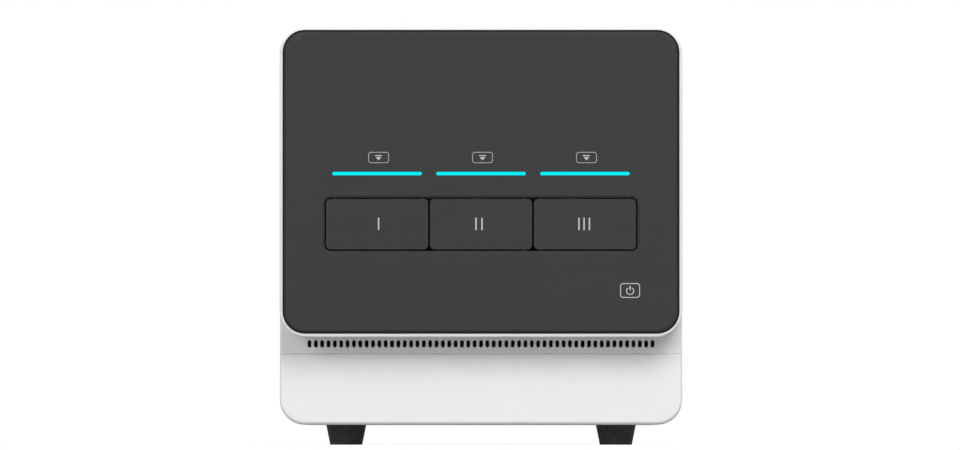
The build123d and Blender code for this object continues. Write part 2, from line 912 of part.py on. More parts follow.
def make_stepper_motors():
    """The three drawer motors under the deck, and the flat one that turns the scan screw."""
    motors = Part()
    for x in drawer_x:
        centre = x + pinion_offset
        outline = RectangleRounded(motor_size, motor_size, motor_corner)
        body = Pos(centre, pinion_y, deck_low - motor_length) * extrude(outline, amount=motor_length)
        body += upright(pilot_radius, centre, pinion_y, deck_low, deck_low + pilot_height)
        motors += body - upright(shaft_radius + running_gap, centre, pinion_y, deck_low - shaft_depth,
                                 deck_low + pilot_height)
    low_x = ear_x + ear_thick
    half = flat_motor_size / 2
    flat = block(low_x, low_x + flat_motor_length, scan_screw_y - half, scan_screw_y + half,
                 scan_z - half, scan_z + half)
    flat = fillet(flat.edges().filter_by(Axis.X), motor_corner)
    return motors + (flat - along_x(scan_screw_radius + running_gap, scan_screw_y, scan_z,
                                    low_x, low_x + shaft_depth))


def make_module_deck():
    """The plate that the drawer rails and the motors are fixed to."""
    deck = block(-side_plate_x, side_plate_x, deck_front_y, side_plate_back_y, deck_low, deck_top)
    for x in drawer_x:
        deck -= upright(pilot_radius + slide_gap, x + pinion_offset, pinion_y, deck_low, deck_top)
    return deck


def make_drawer_rails():
    """One ground rail under each drawer."""
    rails = Part()
    for x in drawer_x:
        rails += block(x - rail_width / 2, x + rail_width / 2, rail_front_y, rail_back_y,
                       deck_top, deck_top + rail_height)
    return rails


def heated_lid(x):
    """The aluminium lid plate, with an aperture over every well."""
    plate = centred(x, block_centre_y, lid_width, lid_length, lid_low, carrier_low)
    holes = Part()
    for dx, dy in well_places():
        holes += upright(aperture_radius, x + dx, block_centre_y + dy, lid_low, carrier_low)
    return plate - holes


def pin_places():
    """The guide pins about the middle of their lid."""
    return [(x, y) for x in (-pin_x, pin_x) for y in (-pin_y, pin_y)]


def lid_carrier(x):
    """The carrier of one lid, bored for its guide pins, and the plunger that lowers it."""
    half = carrier_width / 2
    plate = block(x - half, x + half, carrier_front_y, carrier_back_y, carrier_low, carrier_top)
    plate -= centred(x, block_centre_y, light_width, light_depth, carrier_low, carrier_top)
    for dx, dy in pin_places():
        plate -= upright(pin_radius + running_gap, x + dx, block_centre_y + dy, carrier_low, carrier_top)
    return plate + upright(pin_radius, x, plunger_y, carrier_top, actuator_top - plunger_spare)


def make_guide_pins():
    """Four pins for each lid, hanging from the bridge."""
    pins = Part()
    for x in drawer_x:
        for dx, dy in pin_places():
            pins += upright(pin_radius, x + dx, block_centre_y + dy, cover_top + pin_clear, bridge_low)
    return pins


def make_lid_bridge():
    """The plate over the drawers that carries the lids, with a light window over each block."""
    bridge = block(-side_plate_x, side_plate_x, side_plate_front_y, plunger_y + bridge_tail,
                   bridge_low, bridge_top)
    for x in drawer_x:
        bridge -= centred(x, block_centre_y, light_width, light_depth, bridge_low, bridge_top)
        bridge -= upright(pin_radius + slide_gap, x, plunger_y, bridge_low, bridge_top)
    return bridge


def make_lid_actuators():
    """The linear actuators that lower the lids."""
    actuators = Part()
    for x in drawer_x:
        outline = RectangleRounded(actuator_size, actuator_size, actuator_corner)
        body = Pos(x, plunger_y, bridge_top) * extrude(outline, amount=actuator_height)
        actuators += body - upright(pin_radius + running_gap, x, plunger_y, bridge_top, actuator_top)
    return actuators


def make_scan_beam():
    """The beam across the instrument, with its rail and the two ears that hold the scan screw."""
    rail_half = scan_rail_height / 2
    beam = block(-side_plate_x, side_plate_x, beam_y, beam_y + beam_depth, beam_low, beam_top)
    beam += block(-ear_x, ear_x, head_back_y, beam_y, scan_z - rail_half, scan_z + rail_half)
    for side in (-1, 1):
        beam += block(side * ear_x, side * (ear_x + ear_thick), beam_y - ear_reach, beam_y,
                      beam_low, beam_top)
    reach = ear_x + ear_thick
    return beam - along_x(scan_screw_radius + running_gap, scan_screw_y, scan_z, -reach, reach)


def make_scan_head():
    """The optics head that reads the wells from above, at its home on the left."""
    low_x = head_home_x - head_width / 2
    high_x = head_home_x + head_width / 2
    rail_half = scan_rail_height / 2 + slide_gap
    head = block(low_x, high_x, head_front_y, head_back_y, head_low, beam_top)
    head += block(low_x, high_x, head_back_y, beam_y - head_back_gap, beam_low, beam_top)
    head -= block(low_x, high_x, head_back_y - slide_gap, beam_y, scan_z - rail_half, scan_z + rail_half)
    head -= along_x(scan_screw_radius + running_gap, scan_screw_y, scan_z, low_x, high_x)
    return head + upright(lens_radius, head_home_x, block_centre_y, head_low - lens_length, head_low)


def make_scan_screw():
    """The screw that drives the optics head, from the far ear into its motor."""
    reach = ear_x + ear_thick
    return along_x(scan_screw_radius, scan_screw_y, scan_z, -reach, reach + shaft_depth)


def side_frame(side):
    """One upright plate that carries the deck, the bridge and the beam."""
    near = side * side_plate_x
    far = side * (side_plate_x + side_plate_thick)
    plate = block(near, far, side_plate_front_y, side_plate_back_y, chassis_top, side_plate_top)
    plate += block(near, side * (side_plate_x - side_plate_foot), side_plate_front_y, side_plate_back_y,
                   chassis_top, chassis_top + side_plate_thick)
    middle_y = (side_plate_front_y + side_plate_back_y) / 2
    first_z = chassis_top + side_hole_start
    count = int((side_plate_top - first_z - side_hole_radius) / side_hole_pitch) + 1
    for n in range(count):
        plate -= along_x(side_hole_radius, middle_y, first_z + n * side_hole_pitch, near, far)
    return plate


def make_chassis_plate():
    """The flat plate on the bosses of the tub, as wide as the round corners of the tub let it be."""
    inner_corner = corner_radius - shell_wall
    reach = sqrt(inner_corner ** 2 - (inner_corner - boss_height) ** 2)
    half = half_width - corner_radius + reach - chassis_gap
    front = front_y + foot_setback - boss_radius - chassis_thick
    plate = block(-half, half, front, flange_y - chassis_gap, chassis_low, chassis_top)
    for x, y in foot_places():
        plate -= upright(hole_radius, x, y, chassis_low, chassis_top)
    return plate


def make_power_supply():
    """The cased power supply, with its terminal block and a slotted lid."""
    low_x = -half_width + supply_inset
    high_x = low_x + supply_width
    high_y = flange_y - supply_back_gap
    low_y = high_y - supply_length
    top = chassis_top + supply_height
    case = block(low_x, high_x, low_y, high_y, chassis_top, top)
    case = fillet(case.edges().filter_by(Axis.Y), supply_round)
    count = int((supply_length - 2 * supply_vent_margin) / supply_vent_pitch) + 1
    for n in range(count):
        y = (low_y + high_y) / 2 + (n - (count - 1) / 2) * supply_vent_pitch
        case -= centred((low_x + high_x) / 2, y, supply_width - 2 * supply_vent_margin, supply_vent_width,
                        top - supply_vent_depth, top)
    return case + block(low_x + terminal_inset, high_x - terminal_inset, low_y - terminal_length, low_y,
                        chassis_top, chassis_top + terminal_height)


def make_main_board():
    """The main board on its pillars, with its largest parts."""
    low_x = -half_width + supply_inset + supply_width + main_supply_gap
    high_x = half_width - main_inset
    high_y = flange_y - main_back_gap
    low_y = high_y - main_length
    low = chassis_top + main_lift
    top = low + board_thick
    board = block(low_x, high_x, low_y, high_y, low, top)
    for x in (low_x + pillar_inset, high_x - pillar_inset):
        for y in (low_y + pillar_inset, high_y - pillar_inset):
            board += upright(pillar_radius, x, y, chassis_top, low)
    middle_x = (low_x + high_x) / 2
    middle_y = (low_y + high_y) / 2
    board += centred(middle_x, middle_y, chip_size, chip_size, top, top + chip_height)
    chip_x = (middle_x + high_x) / 2
    board += centred(chip_x, middle_y, chip_size / 2, chip_size, top, top + chip_height)
    plug_y = low_y + 2 * plug_row_width
    for n in range(plug_rows):
        x = low_x + (high_x - low_x) * (n + 0.5) / plug_rows
        board += centred(x, plug_y, plug_row_length, plug_row_width, top, top + plug_row_height)
    for n in range(can_count):
        x = low_x + 2 * pillar_inset + can_radius + n * can_pitch
        board += upright(can_radius, x, high_y - 2 * can_radius, top, top + can_height)
    return board


def inlet_outline(grow):
    """The part of the inlet that passes through the back plate."""
    width = inlet_width - 2 * inlet_lap + 2 * grow
    height = inlet_height - 2 * inlet_low_lap + 2 * grow
    return Pos(inlet_x, inlet_z) * RectangleRounded(width, height, inlet_corner / 2)


def make_power_inlet():
    """The mains inlet and the housing of the power switch in one flange."""
    outline = Pos(inlet_x, inlet_z) * RectangleRounded(inlet_width, inlet_height, inlet_corner)
    flange = slab(outline, rear_outer_y, inlet_y)
    flange = fillet(edges_in(flange, "y", inlet_y), inlet_edge_round)
    body = flange + slab(inlet_outline(0), rear_outer_y - inlet_depth, rear_outer_y)
    socket_x = inlet_x + socket_offset
    mouth = Pos(socket_x, inlet_z) * Rectangle(socket_width, socket_height)
    mouth = chamfer(mouth.vertices().group_by(Axis.Y)[-1], socket_corner)
    body -= slab(mouth, inlet_y - socket_depth, inlet_y)
    half_width_x = blade_pin_width / 2
    half_height_z = blade_pin_height / 2
    for step, rise in ((-1, -1), (0, 1), (1, -1)):
        x = socket_x + step * blade_pin_pitch
        z = inlet_z + rise * blade_pin_rise
        body += block(x - half_width_x, x + half_width_x, inlet_y - socket_depth,
                      inlet_y - blade_pin_recess, z - half_height_z, z + half_height_z)
    for x in inlet_screw_places():
        body -= along_y(hole_radius, x, inlet_z, rear_outer_y, inlet_y)
    return body - rocker_well()


def rocker_well():
    """The hole that the rocker swings in, with a bore for each end of its pin."""
    half = rocker_width / 2 + rocker_gap
    height = rocker_height / 2 + rocker_gap
    well = block(rocker_x - half, rocker_x + half, inlet_y - rocker_well_depth, inlet_y,
                 inlet_z - height, inlet_z + height)
    reach = half + rocker_pin_reach
    bore = along_x(rocker_pin_radius + running_gap, rocker_y, inlet_z, rocker_x - reach, rocker_x + reach)
    return well + bore


def make_power_rocker():
    """The power switch's rocker: two slopes that meet over its pin, tipped to one side at rest."""
    half = rocker_height / 2
    edge = rocker_crown - half * tan(radians(rocker_tilt))
    outline = polygon(
        (-rocker_tail, -half / 2), (edge, -half), (rocker_crown - rocker_pin_radius, 0.0),
        (edge, half), (-rocker_tail, half / 2))
    rocker = extrude(Plane.YZ * outline, amount=rocker_width / 2, both=True)
    rocker += Rot(0, 90, 0) * Cylinder(rocker_pin_radius, rocker_width + 2 * rocker_pin_reach)
    return Pos(rocker_x, rocker_y, inlet_z) * Rot(rocker_tilt, 0, 0) * rocker


def port_openings():
    """The two sockets as their middle along X, width and height: one network, one peripheral."""
    network = (port_x - port_pitch / 2, net_width, net_height)
    peripheral = (port_x + port_pitch / 2, usb_width, usb_height)
    return [network, peripheral]


def port_outlines(grow):
    """The two socket shells as they pass through the back plate."""
    shapes = Sketch()
    for x, width, height in port_openings():
        outer = Rectangle(width + 2 * port_wall + 2 * grow, height + 2 * port_wall + 2 * grow)
        shapes += Pos(x, port_z) * outer
    return shapes


def make_data_ports():
    """The two socket shells on the small board that carries them, which stands on two pillars."""
    low_y = rear_inner_y - port_depth - port_back
    high_y = rear_outer_y + port_proud
    shells = slab(port_outlines(0), low_y, high_y)
    for x, width, height in port_openings():
        shells -= block(x - width / 2, x + width / 2, high_y - port_depth, high_y,
                        port_z - height / 2, port_z + height / 2)
    top = port_z - net_height / 2 - port_wall
    half = port_pitch / 2 + port_board_margin
    board_low_y = low_y - port_board_tail / 2
    board = block(port_x - half, port_x + half, board_low_y, rear_inner_y - chassis_gap,
                  top - board_thick, top)
    for side in (-1, 1):
        board += upright(pillar_radius, port_x + side * (half - pillar_radius), low_y, chassis_top,
                         top - board_thick)
    return board + shells


def fan_frame(x):
    """One square fan frame with its duct, four struts and the motor cup."""
    outline = Pos(x, fan_z) * RectangleRounded(fan_size, fan_size, fan_corner)
    frame = slab(outline, fan_y, rear_inner_y)
    ring = outline - Pos(x, fan_z) * Circle(fan_size / 2) - lug_squares(x)
    frame -= slab(ring, fan_y + fan_flange, rear_inner_y - fan_flange)
    frame -= along_y(fan_duct_radius, x, fan_z, fan_y, rear_inner_y)
    frame += along_y(fan_hub_radius, x, fan_z, fan_y, fan_y + fan_cup)
    for turn in (45, 135):
        strut = Box(2 * fan_duct_radius + fan_wall, fan_cup, fan_strut)
        frame += Pos(x, fan_y + fan_cup / 2, fan_z) * Rot(0, turn, 0) * strut
    frame -= along_y(shaft_radius + running_gap, x, fan_z, fan_y, fan_y + fan_cup)
    for dx, dz in square_corners(fan_screw_half):
        frame -= along_y(hole_radius, x + dx, fan_z + dz, fan_y, rear_inner_y)
    return frame


def lug_squares(x):
    """The squares at the corners of a fan that its screws pass through."""
    lugs = Sketch()
    for dx, dz in square_corners(fan_screw_half):
        lugs += Pos(x + dx, fan_z + dz) * Rectangle(fan_lug, fan_lug)
    return lugs


def make_fan_frames():
    """The left and the right fan frame."""
    return Part() + [fan_frame(-fan_x), fan_frame(fan_x)]


def blade_section():
    """The bowed section of one fan blade, drawn along its chord."""
    half = blade_chord / 2
    rise = blade_rake / 2
    low_bow = blade_bow - blade_thick
    upper = ThreePointArc((-half, -rise), (0, blade_bow), (half, rise))
    lower = ThreePointArc((half, rise - blade_thick), (0, low_bow), (-half, -rise - blade_thick))
    near = Line((half, rise), (half, rise - blade_thick))
    far = Line((-half, -rise - blade_thick), (-half, -rise))
    return make_face(upper + near + lower + far)


def fan_rotor(x):
    """The hub, the bowed blades and the shaft of one fan."""
    low = fan_y + fan_cup + fan_cup_gap
    depth = rear_inner_y - fan_front_gap - low
    rotor = Rot(90, 0, 0) * Cylinder(fan_hub_radius, depth)
    rotor = fillet(rotor.edges().filter_by(GeomType.CIRCLE), fan_cup / 2)
    root = fan_hub_radius - fan_cup
    blade = extrude(Plane.YZ.offset(root) * Rot(0, 0, 90) * blade_section(), amount=fan_duct_radius - root)
    blade = blade & (Rot(90, 0, 0) * Cylinder(fan_blade_radius, depth))
    for n in range(fan_blades):
        rotor += Rot(0, 360 / fan_blades * n, 0) * blade
    shaft = Rot(90, 0, 0) * Cylinder(shaft_radius, fan_cup + fan_cup_gap)
    rotor += Pos(0, -(depth + fan_cup + fan_cup_gap) / 2, 0) * shaft
    return Pos(x, low + depth / 2, fan_z) * rotor


def fan_guard(x):
    """The wire guard over one fan: rings joined by a cross, with an eye at each screw."""
    centre = Pos(x, rear_outer_y + guard_wire, fan_z)
    eye_radius = hole_radius + guard_wire
    guard = Part()
    for n in range(guard_rings):
        guard += centre * Rot(90, 0, 0) * Torus(fan_duct_radius - guard_inset - n * guard_pitch, guard_wire)
    for turn in (45, 135):
        length = 2 * (fan_screw_half * sqrt(2) - eye_radius)
        guard += centre * Rot(0, turn, 0) * Rot(0, 90, 0) * Cylinder(guard_wire, length)
    for dx, dz in square_corners(fan_screw_half):
        guard += centre * Pos(dx, 0, dz) * Rot(90, 0, 0) * Torus(eye_radius, guard_wire)
    return guard


def make_fan_guards():
    """The two wire guards."""
    return Part() + [fan_guard(-fan_x), fan_guard(fan_x)]


def make_fixed():
    """The sub-parts that stay still, and those of which the object has one or a left and a right."""
    return {
        "front_frame": make_front_frame(),
        "front_panel": make_front_panel(),
        "light_bars": make_light_bars(),
        "touch_board": make_touch_board(),
        "top_cover": make_top_cover(),
        "base_shell": make_base_shell(),
        "rear_panel": make_rear_panel(),
        "rubber_feet": make_rubber_feet(),
        "case_screws": make_case_screws(),
        "chassis_plate": make_chassis_plate(),
        "side_frame_left": side_frame(-1),
        "side_frame_right": side_frame(1),
        "module_deck": make_module_deck(),
        "drawer_rails": make_drawer_rails(),
        "stepper_motors": make_stepper_motors(),
        "lid_bridge": make_lid_bridge(),
        "guide_pins": make_guide_pins(),
        "lid_actuators": make_lid_actuators(),
        "scan_beam": make_scan_beam(),
        "scan_head": make_scan_head(),
        "scan_screw": make_scan_screw(),
        "power_supply": make_power_supply(),
        "main_board": make_main_board(),
        "power_inlet": make_power_inlet(),
        "power_rocker": make_power_rocker(),
        "data_ports": make_data_ports(),
        "fan_frames": make_fan_frames(),
        "fan_rotor_left": fan_rotor(-fan_x),
        "fan_rotor_right": fan_rotor(fan_x),
        "fan_guards": make_fan_guards(),
    }


def make_module(x):
    """The sub-parts of one drawer and of the lid over it."""
    return {
        "drawer_front": drawer_front(x),
        "drawer_tray": drawer_tray(x),
        "tray_cover": tray_cover(x),
        "sample_block": sample_block(x),
        "thermal_cells": thermal_cells(x),
        "heat_sink": heat_sink(x),
        "drawer_rack": drawer_rack(x),
        "drive_pinion": drive_pinion(x),
        "heated_lid": heated_lid(x),
        "lid_carrier": lid_carrier(x),
    }


sub_parts = make_fixed()
for number, module_x in enumerate(drawer_x, start=1):
    for name, shape in make_module(module_x).items():
        sub_parts[f"{name}_{number}"] = shape

os.makedirs("parts", exist_ok=True)
for name, shape in sub_parts.items():
    export_step(shape, f"parts/{name}.step")
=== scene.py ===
import json
from math import cos, pi, radians, sin, sqrt

import bmesh
import bpy
from mathutils import Matrix, Vector


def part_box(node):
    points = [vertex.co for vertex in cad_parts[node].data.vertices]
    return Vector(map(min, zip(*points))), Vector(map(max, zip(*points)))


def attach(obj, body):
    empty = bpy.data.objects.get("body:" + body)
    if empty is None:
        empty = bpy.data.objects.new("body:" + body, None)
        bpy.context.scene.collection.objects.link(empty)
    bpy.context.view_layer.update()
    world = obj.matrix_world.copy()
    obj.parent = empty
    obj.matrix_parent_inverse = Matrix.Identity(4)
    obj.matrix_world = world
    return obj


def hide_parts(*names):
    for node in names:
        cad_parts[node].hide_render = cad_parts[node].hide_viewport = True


# Looks of a bench real-time PCR instrument: white housing, dark overhanging panel, three sample drawers.
# Metres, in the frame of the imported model. The front looks along -Y.

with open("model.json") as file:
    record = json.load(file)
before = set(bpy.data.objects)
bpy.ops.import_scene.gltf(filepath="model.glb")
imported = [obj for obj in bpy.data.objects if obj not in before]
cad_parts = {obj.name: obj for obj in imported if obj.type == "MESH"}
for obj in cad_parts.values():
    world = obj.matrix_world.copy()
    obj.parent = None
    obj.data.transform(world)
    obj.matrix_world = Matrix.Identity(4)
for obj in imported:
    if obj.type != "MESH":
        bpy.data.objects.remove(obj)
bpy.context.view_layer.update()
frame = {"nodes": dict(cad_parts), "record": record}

MM = 0.001


# Camera, light and floor

EYE = (-0.001, -15.867, 0.008)
LOOKED_AT = (-0.001, -0.25, 0.2182)
LENS = 590
LAMPS_FACE = (0, 0, 0.2)
WALLS_THROW = 0.36
FLOOR_HALF = 6.0
FLOOR_SHOWS = 0.6
FLOOR_THROWS = 0.35
FLOOR_GLOW = 0.55
WHITE_FROM = 0.6
WHITE_BEYOND = 1.6


def aim(thing, place, target):
    """Stands a camera or a lamp at a place and turns it to a target."""
    thing.location = place
    thing.rotation_mode = "QUATERNION"
    thing.rotation_quaternion = (Vector(target) - Vector(place)).to_track_quat("-Z", "Y")


def make_camera():
    """A long lens far in front of the instrument, just over the bench."""
    data = bpy.data.cameras.new("front_view")
    data.lens = LENS
    data.sensor_width = 36
    data.clip_end = 60
    camera = bpy.data.objects.new("front_view", data)
    bpy.context.scene.collection.objects.link(camera)
    aim(camera, EYE, LOOKED_AT)
    bpy.context.scene.camera = camera


def make_lamp(name, place, size, power):
    """A square softbox turned to the middle of the instrument."""
    data = bpy.data.lights.new(name, "AREA")
    data.size = size
    data.energy = power
    lamp = bpy.data.objects.new(name, data)
    bpy.context.scene.collection.objects.link(lamp)
    aim(lamp, place, LAMPS_FACE)


def seen_directly(nodes, links):
    """1 for a ray from the camera, or one that a shiny or clear surface sends on."""
    path = nodes.new("ShaderNodeLightPath")
    total = path.outputs["Is Camera Ray"]
    for kind in ("Is Glossy Ray", "Is Transmission Ray"):
        larger = nodes.new("ShaderNodeMath")
        larger.operation = "MAXIMUM"
        links.new(total, larger.inputs[0])
        links.new(path.outputs[kind], larger.inputs[1])
        total = larger.outputs[0]
    return total


def make_surroundings():
    """A white studio whose walls light the instrument at a third of their shown strength."""
    world = bpy.data.worlds.new("studio")
    bpy.context.scene.world = world
    world.use_nodes = True
    nodes = world.node_tree.nodes
    links = world.node_tree.links
    nodes.clear()
    mix = nodes.new("ShaderNodeMixShader")
    links.new(seen_directly(nodes, links), mix.inputs[0])
    for place, strength in ((1, WALLS_THROW), (2, 1.0)):
        wall = nodes.new("ShaderNodeBackground")
        wall.inputs["Color"].default_value = (1, 1, 1, 1)
        wall.inputs["Strength"].default_value = strength
        links.new(wall.outputs[0], mix.inputs[place])
    links.new(mix.outputs[0], nodes.new("ShaderNodeOutputWorld").inputs[0])


def make_floor():
    """A pale bench top that keeps the instrument's shadow and throws little light up at it."""
    half = FLOOR_HALF
    corners = [(-half, -half, 0), (half, -half, 0), (half, half, 0), (-half, half, 0)]
    mesh = bpy.data.meshes.new("bench_top")
    mesh.from_pydata(corners, [], [(0, 1, 2, 3)])
    floor = bpy.data.objects.new("bench_top", mesh)
    bpy.context.scene.collection.objects.link(floor)
    material = bpy.data.materials.new("bench_white")
    material.use_nodes = True
    nodes = material.node_tree.nodes
    links = material.node_tree.links
    nodes.clear()
    matt, dim = [nodes.new("ShaderNodeBsdfDiffuse") for _ in range(2)]
    matt.inputs["Color"].default_value = (*[FLOOR_SHOWS] * 3, 1)
    dim.inputs["Color"].default_value = (*[FLOOR_THROWS] * 3, 1)
    glow = nodes.new("ShaderNodeEmission")
    glow.inputs["Strength"].default_value = FLOOR_GLOW
    near = nodes.new("ShaderNodeAddShader")
    links.new(matt.outputs[0], near.inputs[0])
    links.new(glow.outputs[0], near.inputs[1])
    white = nodes.new("ShaderNodeEmission")
    distance = nodes.new("ShaderNodeVectorMath")
    distance.operation = "LENGTH"
    links.new(nodes.new("ShaderNodeTexCoord").outputs["Object"], distance.inputs[0])
    fade = nodes.new("ShaderNodeMapRange")
    fade.inputs["From Min"].default_value = WHITE_FROM
    fade.inputs["From Max"].default_value = WHITE_BEYOND
    links.new(distance.outputs["Value"], fade.inputs["Value"])
    shown = nodes.new("ShaderNodeMixShader")
    for socket, source in enumerate((fade, near, white)):
        links.new(source.outputs[0], shown.inputs[socket])
    mix = nodes.new("ShaderNodeMixShader")
    links.new(seen_directly(nodes, links), mix.inputs[0])
    links.new(dim.outputs[0], mix.inputs[1])
    links.new(shown.outputs[0], mix.inputs[2])
    links.new(mix.outputs[0], nodes.new("ShaderNodeOutputMaterial").inputs[0])
    mesh.materials.append(material)


# How a finish is built

class Level:
    """A number that varies over a surface. Arithmetic on it adds Math nodes to its finish."""

    def __init__(self, finish, socket):
        self.finish = finish
        self.socket = socket

    def step(self, operation, first, second):
        """One Math node on two numbers."""
        node = self.finish.add("ShaderNodeMath", {"operation": operation}, {0: first, 1: second})
        return Level(self.finish, node.outputs[0])

    def __add__(self, other):
        return self.step("ADD", self, other)

    def __sub__(self, other):
        return self.step("SUBTRACT", self, other)

    def __rsub__(self, other):
        return self.step("SUBTRACT", other, self)

    def __mul__(self, other):
        return self.step("MULTIPLY", self, other)

    __radd__ = __add__
    __rmul__ = __mul__

    def over(self, other):
        """1 where this number is above another."""
        return self.step("GREATER_THAN", self, other)

    def between(self, low, high):
        """0 at low, 1 at high, held at both ends."""
        node = self.finish.add("ShaderNodeMapRange", {"clamp": True}, {
            "Value": self, "From Min": low, "From Max": high, "To Min": 0.0, "To Max": 1.0})
        return Level(self.finish, node.outputs[0])


class Finish:
    """One finish of the instrument: a shader and what varies over its surface."""

    def __init__(self, name, **constants):
        self.material = bpy.data.materials.new(name)
        self.material.use_nodes = True
        self.tree = self.material.node_tree
        self.tree.nodes.clear()
        self.shader = self.add("ShaderNodeBsdfPrincipled")
        self.add("ShaderNodeOutputMaterial", inputs={"Surface": self.shader.outputs[0]})
        self.place = self.add("ShaderNodeTexCoord").outputs["Object"]
        for key, value in constants.items():
            self.set(key.replace("_", " ").title().replace("Ior", "IOR"), value)

    def add(self, kind, settings=None, inputs=None):
        """Adds a node: its settings come first, then the values and links of its sockets."""
        node = self.tree.nodes.new(kind)
        for key, value in (settings or {}).items():
            setattr(node, key, value)
        for key, value in (inputs or {}).items():
            self.fill(node.inputs[key], value)
        return node

    def fill(self, socket, value):
        """Gives a socket a number, a colour or a link."""
        if isinstance(value, Level):
            value = value.socket
        if isinstance(value, bpy.types.NodeSocket):
            self.tree.links.new(value, socket)
        elif socket.type == "RGBA":
            socket.default_value = (*value, 1)
        else:
            socket.default_value = value

    def set(self, socket, value):
        """Sets a socket of the shader."""
        self.fill(self.shader.inputs[socket], value)

    def stretched(self, x, y, z):
        """The place on the surface, stretched along the axes."""
        return self.add("ShaderNodeMapping", None, {"Vector": self.place, "Scale": (x, y, z)}).outputs[0]

    def clouds(self, size, detail=2.0, roughness=0.5, place=None):
        """Soft uneven patches of about a size in metres."""
        node = self.add("ShaderNodeTexNoise", None, {
            "Vector": place or self.place, "Scale": 1 / size, "Detail": detail, "Roughness": roughness})
        return Level(self, node.outputs["Fac"])

    def grains(self, size, metric="EUCLIDEAN", place=None):
        """Separate grains of about a size: how far each point is from the middle of its grain."""
        node = self.add("ShaderNodeTexVoronoi", {"distance": metric}, {
            "Vector": place or self.place, "Scale": 1 / size})
        return Level(self, node.outputs["Distance"])

    def flakes(self, size):
        """Flakes of about a size, each with one even random level."""
        node = self.add("ShaderNodeTexVoronoi", None, {"Vector": self.place, "Scale": 1 / size})
        split = self.add("ShaderNodeSeparateColor", None, {"Color": node.outputs["Color"]})
        return Level(self, split.outputs[0])

    def blend(self, level, low, high):
        """A colour from low to high, by a level."""
        node = self.add("ShaderNodeMix", {"data_type": "RGBA"}, {0: level, 6: low, 7: high})
        return node.outputs[2]

    def tint(self, level, colour, low, high):
        """Colours the surface between two shades of a colour, by a level."""
        self.set("Base Color", self.blend(level, shade(colour, low), shade(colour, high)))

    def relief(self, height, depth):
        """Raises the surface by a height from 0 to 1, times a depth in metres."""
        node = self.add("ShaderNodeBump", None, {"Height": height, "Distance": depth, "Strength": 1.0})
        self.set("Normal", node.outputs[0])


# The finishes

def shade(colour, factor):
    """A colour made lighter or darker."""
    return tuple(min(1.0, part * factor) for part in colour)


def moulded(name, colour, grain=0.9 * MM, depth=0.02 * MM, rough=0.5, **constants):
    """Moulded plastic with a fine eroded texture and a trace of uneven gloss."""
    finish = Finish(name, **constants)
    fine = finish.grains(grain)
    wide = finish.clouds(60 * MM, detail=3.0)
    finish.tint(wide * 0.7 + fine * 0.3, colour, 0.985, 1.01)
    finish.set("Roughness", rough - 0.05 + wide * 0.06 + fine * 0.06)
    finish.relief(fine * 0.6 + finish.clouds(grain / 2) * 0.4, depth)
    return finish.material


def powder_coated(name, colour, rough=0.42):
    """Powder coat: a low orange peel with a fine sparkle of harder grains."""
    finish = Finish(name, coat_roughness=0.35)
    peel = finish.clouds(1.6 * MM, detail=1.0)
    grit = finish.grains(0.5 * MM)
    wide = finish.clouds(90 * MM)
    finish.tint(wide * 0.6 + grit * 0.4, colour, 0.98, 1.01)
    finish.set("Roughness", rough - 0.06 + peel * 0.1 + grit * 0.04)
    finish.set("Coat Weight", 0.05 + peel * 0.05)
    finish.relief(peel * 0.8 + grit * 0.2, 0.03 * MM)
    return finish.material


def satin_dark(name, colour, rough=0.36, level=0.3):
    """Satin dark plastic with a fine grain, faint wipe marks and dust in the grain."""
    finish = Finish(name, specular_ior_level=level)
    grain = finish.grains(0.6 * MM)
    wipes = finish.clouds(40 * MM, detail=4.0, place=finish.stretched(0.6, 1.0, 2.4))
    wide = finish.clouds(300 * MM, detail=1.0)
    tone = wipes * 0.35 + wide * 0.45 + grain * 0.2
    finish.tint(tone, colour, 0.93, 1.07)
    finish.set("Roughness", rough - 0.05 + wipes * 0.1 + grain * 0.05)
    finish.relief(grain * 0.7 + finish.clouds(0.35 * MM) * 0.3, 0.006 * MM)
    return finish.material


def soft_rubber(name, colour):
    """Matt rubber with a pitted skin and a pale bloom."""
    finish = Finish(name, specular_ior_level=0.35)
    pits = finish.grains(0.8 * MM)
    bloom = finish.clouds(7 * MM, detail=4.0, roughness=0.6)
    finish.tint(bloom.between(0.35, 0.75), colour, 0.8, 1.4)
    finish.set("Roughness", 0.72 + bloom * 0.15)
    finish.relief(pits * 0.6 + bloom * 0.4, 0.06 * MM)
    return finish.material


def plated_sheet(name, colour, flake=4 * MM):
    """Zinc plated sheet: faint flakes, rolling lines and a passivated tint."""
    finish = Finish(name, metallic=1.0)
    flakes = finish.flakes(flake)
    lines = finish.clouds(0.5 * MM, detail=2.0, place=finish.stretched(1.0, 0.03, 1.0))
    tint = finish.clouds(50 * MM, detail=3.0)
    grey = finish.blend(flakes * 0.5 + lines * 0.5, shade(colour, 0.86), shade(colour, 1.06))
    warm = finish.blend(0.25 * tint, grey, (0.66, 0.6, 0.45))
    finish.set("Base Color", warm)
    finish.set("Roughness", 0.3 + flakes * 0.1 + lines * 0.1)
    finish.relief(lines * 0.6 + flakes * 0.4, 0.008 * MM)
    return finish.material


def cut_metal(name, colour, along=(0.02, 1.0, 1.0), rough=0.26, line=0.35 * MM):
    """Ground, milled or extruded metal with its lines along one axis."""
    finish = Finish(name, metallic=1.0)
    lines = finish.clouds(line, detail=3.0, roughness=0.6, place=finish.stretched(*along))
    wide = finish.clouds(25 * MM, detail=2.0)
    finish.tint(lines * 0.6 + wide * 0.4, colour, 0.88, 1.08)
    finish.set("Roughness", rough + lines * 0.14 + wide * 0.05)
    finish.relief(lines, 0.006 * MM)
    return finish.material


